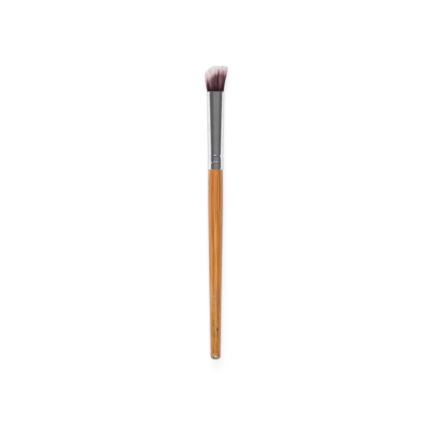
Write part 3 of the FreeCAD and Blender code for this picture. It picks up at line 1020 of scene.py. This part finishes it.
@dataclass
class Tuft:
    """The flared, slant-cut tuft of fine filaments, in millimetres, with heights above the ferrule's mouth.

    Places across it, as in the slant, the rises and the bells, go from -1 on the left to 1 on the right.
    """

    count: int = 6200
    seed: int = 417
    sides: int = 3
    filament_radius: float = 0.09
    taper: tuple[float, ...] = (0.48, 0.5, 0.6, 0.8, 1.0, 1.0, 0.8, 0.45)
    ring_shares: tuple[float, ...] = (0.1, 0.27, 0.45, 0.62, 0.78, 0.91, 1.0)
    inner_share: float = 0.72
    root_depth: float = 8.2
    mouth_depth: float = 0.6
    root_half_width: float = 4.2
    root_half_depth: float = 3.35
    mouth_half_width: float = 4.42
    mouth_half_depth: float = 3.28
    spread: float = 1.75
    depth_spread: float = 0.88
    spread_power: float = 1.9
    right_slope: float = 0.1
    right_curve: float = 0.0055
    height: float = 14.0
    table_gap: float = 4.15
    slant_places: tuple[float, ...] = (-1.0, -0.9, -0.7, -0.45, -0.25, 0.0, 0.9, 1.0)
    slant_heights: tuple[float, ...] = (9.3, 10.6, 12.1, 13.2, 13.8, 14.05, 14.05, 13.4)
    crown_round: float = 0.35
    overlength: float = 0.35
    clump_length: float = 0.2
    ragged: float = 0.85
    left_ragged: Rise = Rise(0.1, -0.6, 0.7)
    clumps: int = 150
    clump_scatter: float = 0.02
    clumping: float = 0.5
    clumping_power: float = 1.3
    tip_scatter: float = 0.035
    lean: float = 0.16
    lean_limit: float = 0.45
    swing: float = 0.05
    waves: float = 1.1
    dye_below_crown: float = 3.85
    dyed_locks: tuple[Bell, ...] = (Bell(-0.22, 0.17, 0.8), Bell(-0.58, 0.1, 0.5), Bell(0.27, 0.08, 0.9))
    clump_dye: float = 0.85
    own_dye: float = 0.5
    white_tip: float = 2.4
    fade: float = 3.2
    left_fade: Rise = Rise(-0.1, -0.6, 2.0)
    shade: float = 0.36
    clump_shade: float = 0.55
    own_shade: float = 0.28
    # painted side light across the tuft: lighter on the left, darker on the right
    painted_side_light: tuple[Rise, ...] = (Rise(-0.1, -0.6, 0.35), Rise(0.5, 0.8, -0.15))
    shaded_locks: tuple[Bell, ...] = (Bell(0.27, 0.09, -1.3), Bell(0.47, 0.06, 0.65))
    strands: int = 27
    strand_contrast: float = 0.42
    lightest: float = 1.5

    def build(self, effects: Effects) -> None:
        """Plant the filaments and put them in as two pieces, one for each layer.

        Args:
            effects: the shared patterns.
        """
        root, out = spiral(self.count)
        planted = self.plant(root)
        material = FilamentFinish().material(effects)
        for layer in Layer:
            chosen = (out < self.inner_share) == (layer is Layer.INNER)
            self.tubes(layer, planted.chosen(chosen), material)

    def plant(self, root: np.ndarray) -> Filaments:
        """Work out what each filament has of its own, from a fixed seed.

        Each filament belongs to the nearest of the locks, leans part of the way to its middle, and shares
        its chance in length, lean, dye and shade. The crown falls off by the square of the depth, and tips
        lie below it by the size of a normal chance, more on the left. The dye ends some way below the crown,
        higher on three of the locks. The shade carries painted side light, lighter on the left and darker
        on the right, and has a dark and a light lock.

        Args:
            root: each root's place in the unit disc.

        Returns:
            The filaments.
        """
        rng = np.random.default_rng(self.seed)
        locks = spiral(self.clumps)[0]
        locks += rng.normal(0.0, self.clump_scatter, locks.shape)
        own = np.argmin(((root[:, None] - locks[None]) ** 2).sum(-1), axis=1)
        tip = root + self.clumping * (locks[own] - root) + rng.normal(0.0, self.tip_scatter, root.shape)
        across = tip[:, 0]
        lean = rng.normal(0.0, self.lean, locks.shape)[own] + rng.normal(0.0, self.lean, root.shape)
        crown = np.interp(across, self.slant_places, self.slant_heights) - self.crown_round * tip[:, 1] ** 2
        ragged = self.ragged + self.left_ragged.of(across)
        length = crown + self.overlength + rng.normal(0.0, self.clump_length, self.clumps)[own]
        length -= ragged * np.abs(rng.normal(0.0, 1.0, self.count))
        bleached = length - self.dye_below_crown + sum(lock.of(across) for lock in self.dyed_locks)
        bleached += rng.normal(0.0, self.clump_dye, self.clumps)[own]
        bleached += rng.normal(0.0, self.own_dye, self.count)
        shade = rng.normal(self.shade, self.clump_shade, self.clumps)[own]
        shade += rng.normal(0.0, self.own_shade, self.count)
        # painted side light: the left filaments lighter and the right ones darker
        shade += sum(part.of(across) for part in self.painted_side_light + self.shaded_locks)
        phase = rng.uniform(0.0, FULL_TURN, (self.count, 2))
        swing = rng.normal(0.0, self.swing, (self.count, 2))
        twist = rng.uniform(0.0, FULL_TURN, self.count)
        strands = rng.normal(0.0, self.strand_contrast, (2, self.strands))
        places = np.linspace(-1.0, 1.0, self.strands)
        return Filaments(
            root=root,
            tip=tip,
            lean=np.clip(lean, -self.lean_limit, self.lean_limit),
            length=length,
            bleached=np.minimum(bleached, length - self.white_tip),
            fade=self.fade + self.left_fade.of(across),
            shade=shade,
            phase=phase,
            swing=swing,
            twist=twist,
            streak=np.stack([np.interp(across, places, row) for row in strands], axis=1),
        )

    def halves(self, height: np.ndarray, side: np.ndarray) -> tuple[np.ndarray, np.ndarray]:
        """Work out the tuft's half width and half depth at each height.

        On the left the half width grows by the spread times 1 - (1 - h)^p, fast at first. On the right it
        grows by a slope of the height and a little of its square, so that the long corner leans out.

        Args:
            height: heights above the mouth, below zero inside the ferrule.
            side: each filament's place across the tuft, from -1 to 1.

        Returns:
            The half width and the half depth at each height.
        """
        risen = np.clip(height, 0.0, None)
        fast = 1 - (1 - np.clip(risen / self.height, 0.0, 1.0)) ** self.spread_power
        left = self.mouth_half_width + self.spread * fast
        right = self.mouth_half_width + self.right_slope * risen + self.right_curve * risen**2
        sunk = np.clip(-height / self.root_depth, 0.0, 1.0)
        half_width = np.where(side < 0, left, right) + (self.root_half_width - self.mouth_half_width) * sunk
        half_depth = self.mouth_half_depth + self.depth_spread * fast
        return half_width, half_depth + (self.root_half_depth - self.mouth_half_depth) * sunk

    def paths(self, filaments: Filaments) -> np.ndarray:
        """Work out each filament's line: its place in the tuft's oval, carried from root to tip.

        The place goes from the root's to the tip's with a power of the share risen. The lean adds its own
        length times the square of that share, and a slight wave grows with the share.

        Args:
            filaments: the filaments.

        Returns:
            Points in millimetres from the middle of the mouth, one row for each filament.
        """
        length = filaments.length[:, None]
        sunk = np.broadcast_to([-self.root_depth, -self.mouth_depth], (len(length), 2))
        height = np.concatenate([sunk, length * np.array(self.ring_shares)], axis=1)
        risen = np.clip(height / length, 0.0, 1.0)[..., None]
        moved = (filaments.tip - filaments.root)[:, None] * risen**self.clumping_power
        place = filaments.root[:, None] + moved
        half_width, half_depth = self.halves(height, place[..., 0])
        wave = np.sin(self.waves * FULL_TURN * risen + filaments.phase[:, None])
        sway = filaments.lean[:, None] * risen**2 + filaments.swing[:, None] * wave * risen
        across = place[..., 0] * half_width + sway[..., 0]
        deep = np.clip(place[..., 1] * half_depth + sway[..., 1], -self.table_gap, self.table_gap)
        return np.stack([across, height, deep], axis=-1)

    def tubes(self, layer: Layer, filaments: Filaments, material: bpy.types.Material) -> None:
        """Carry a small triangle along each filament's line, tapering to a point at its tip.

        Args:
            layer: the layer that the filaments make up.
            filaments: the filaments.
            material: the finish.
        """
        low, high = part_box("ferrule")
        mouth = np.array([0.0, high.y, (low.z + high.z) / 2])
        path = self.paths(filaments)
        taper = np.array(self.taper) * self.filament_radius
        column = np.arange(self.sides)
        angle = filaments.twist[:, None] + column * (FULL_TURN / self.sides)
        section = np.stack([np.cos(angle), np.zeros_like(angle), np.sin(angle)], axis=-1)
        rings = path[:, :-1, None] + taper[None, :, None, None] * section[:, None]
        count, rows = rings.shape[:2]
        whole = np.concatenate([rings.reshape(count, -1, 3), path[:, -1:]], axis=1)
        tip = rows * self.sides
        first = (np.arange(count) * (tip + 1))[:, None, None]
        walls = ring_quads(rows, self.sides, closed=False)[None] + first
        point = fan(tip, tip - self.sides + column, above=True)[None] + first
        foot = column[None, None] + first
        faces = [walls.reshape(-1, 4), point.reshape(-1, 3), foot.reshape(-1, self.sides)]
        piece = new_piece(f"tuft_{layer.name.lower()}", whole.reshape(-1, 3) * MM + mouth, faces)
        self.dye(piece, filaments, whole[..., 1])
        settle(piece, material, Slot.FILAMENT, layer.value)

    def dye(self, piece: bpy.types.Object, filaments: Filaments, height: np.ndarray) -> None:
        """Keep the height, shade and dye of each vertex, which the finish reads.

        The shade goes evenly from its streak at the mouth to its streak at the crown. The dye goes from all
        to none by a smooth rise about the height at which it is half gone.

        Args:
            piece: the piece that the filaments make up.
            filaments: the filaments.
            height: the heights of their vertices, one row for each filament.
        """
        risen = np.clip(height / self.height, 0.0, 1.0)
        streak = filaments.streak[:, :1] * (1 - risen) + filaments.streak[:, 1:] * risen
        bleached, fade = filaments.bleached[:, None], filaments.fade[:, None]
        notes = {
            "height": height / self.height,
            # the shade carries the tuft's painted side light along with each filament's own tone
            "shade": np.clip(filaments.shade[:, None] + streak, 0.0, self.lightest),
            "dye": smooth_rise((height - bleached) / fade + 0.5),
        }
        for name, values in notes.items():
            kept = piece.data.attributes.new(name, "FLOAT", "POINT")
            kept.data.foreach_set("value", np.ascontiguousarray(values, dtype=np.float32).ravel())


@dataclass
class Bonds:
    """The two hidden bodies of adhesive, which keep their CAD shapes."""

    nodes: tuple[str, ...] = ("tenon_glue", "root_block")

    def dress(self, effects: Effects) -> None:
        """Give both bodies the adhesive's finish.

        Args:
            effects: the shared patterns.
        """
        material = AdhesiveFinish().material(effects)
        for name in self.nodes:
            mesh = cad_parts[name].data
            mesh.materials.clear()
            mesh.materials.append(material)
            LOG.info("%s: CAD shape with the adhesive's finish", name)


@dataclass(frozen=True)
class Lamp:
    """A soft rectangular lamp that faces the middle of the brush, its place and size in metres.

    A lamp that is not glossy lights the brush without showing in its gloss, as one behind a polariser does.
    """

    name: str
    place: tuple[float, float, float]
    size: tuple[float, float]
    watts: float
    glossy: bool = True

    def hang(self) -> None:
        """Hang the lamp."""
        light = bpy.data.lights.new(self.name, "AREA")
        light.shape, light.energy = "RECTANGLE", self.watts
        light.size, light.size_y = self.size
        lamp = bpy.data.objects.new(self.name, light)
        bpy.context.scene.collection.objects.link(lamp)
        lamp.location = self.place
        lamp.visible_glossy = self.glossy
        lamp.rotation_euler = (-lamp.location).to_track_quat("-Z", "Y").to_euler()


@dataclass
class Studio:
    """A white table in a dim room, soft lamps over both ends of the brush, and a camera above it."""

    frame_width: float = 237.3 * MM
    centre: tuple[float, float] = (1.05 * MM, -2.55 * MM)
    axis_height: float = 4.275 * MM
    lens: float = 100.0
    sensor: float = 36.0
    clip: tuple[float, float] = (0.01, 50.0)
    table_half: float = 4.0
    glow: float = 0.63
    glow_rise: tuple[float, float] = (0.2, 1.2)
    kept: Colour = grey(0.38)
    bounce: Colour = grey(0.38)
    dim: Colour = grey(0.13)
    white: Colour = grey(1.0)
    wall: Rise = Rise(0.24, 0.16)
    wall_tilt: float = 0.11
    lamps: tuple[Lamp, ...] = (
        Lamp("butt_lamp", (0.0, -0.56, 1.05), (0.9, 0.35), 1.0),
        Lamp("tuft_lamp", (-0.2, 1.0, 0.75), (1.6, 0.6), 12.5, glossy=False),
        Lamp("overhead_panel", (0.18, 0.0, 1.25), (1.1, 1.6), 0.7),
        Lamp("key_lamp", (0.0, 0.0, 1.6), (1.0, 1.0), 14.0, glossy=False),
    )

    def build(self) -> None:
        """Set up the table, the room, the lamps and the camera."""
        bpy.context.scene.view_settings.view_transform = "Standard"
        self.table()
        self.room()
        for lamp in self.lamps:
            lamp.hang()
        self.camera()

    def table(self) -> None:
        """Lay the table: white to the eye, in gloss and through glass, with a soft shadow near the brush.

        There it is a part glow and a part lit surface, so that the shadow shows. The glow rises to full
        white further out. To all other rays it is a plain grey that bounces some light.
        """
        half = self.table_half
        points = np.array([[-half, -half, 0.0], [half, -half, 0.0], [half, half, 0.0], [-half, half, 0.0]])
        table = new_piece("table", points, [np.array([[0, 1, 2, 3]])])
        material = bpy.data.materials.new("white_table")
        material.use_nodes = True
        graph = Graph(material.node_tree)
        away = graph.vector("LENGTH", {0: graph.add("TexCoord").outputs["Object"]}, "Value")
        strength = graph.span(away, *self.glow_rise, self.glow, 1.0)
        glow = graph.add("Emission", {"Strength": strength}).outputs[0]
        shaded = graph.add("BsdfDiffuse", {"Color": self.kept}).outputs[0]
        white = graph.add("AddShader", {0: shaded, 1: glow}).outputs[0]
        plain = graph.add("BsdfDiffuse", {"Color": self.bounce}).outputs[0]
        mixed = graph.add("MixShader", {0: graph.shown(), 1: plain, 2: white}).outputs[0]
        graph.add("OutputMaterial", {"Surface": mixed})
        table.data.materials.append(material)

    def room(self) -> None:
        """Shade the room: white to the eye, and in gloss white up to a low wall and a dim grey above it.

        The wall's edge is a height above the horizon, lower on the right by the tilt.
        """
        world = bpy.data.worlds.new("dim_room")
        bpy.context.scene.world = world
        world.use_nodes = True
        graph = Graph(world.node_tree)
        way = graph.add("SeparateXYZ", {0: graph.add("TexCoord").outputs["Generated"]}).outputs
        level = graph.total(way["Z"], (way["X"], self.wall_tilt))
        white = graph.calc("MULTIPLY", graph.risen(level, self.wall), graph.shown())
        white = graph.calc("MAXIMUM", white, graph.add("LightPath").outputs["Is Camera Ray"])
        colour = graph.tint(white, self.dim, self.white)
        graph.add("OutputWorld", {"Surface": graph.add("Background", {"Color": colour}).outputs[0]})

    def camera(self) -> None:
        """Hang the camera straight above, so far up that the frame's width fits at the brush's axis."""
        data = bpy.data.cameras.new("camera")
        data.lens, data.sensor_width, data.sensor_fit = self.lens, self.sensor, "HORIZONTAL"
        data.clip_start, data.clip_end = self.clip
        camera = bpy.data.objects.new("camera", data)
        bpy.context.scene.collection.objects.link(camera)
        camera.location = (*self.centre, self.axis_height + self.frame_width * self.lens / self.sensor)
        bpy.context.scene.camera = camera


def main() -> None:
    logging.basicConfig(level=logging.INFO, format="%(name)s: %(message)s")
    effects = Effects()
    Handle().build(effects)
    Ferrule().build(effects)
    Bonds().dress(effects)
    Tuft().build(effects)
    Studio().build()
    bpy.context.view_layer.update()


if __name__ == "__main__":
    main()
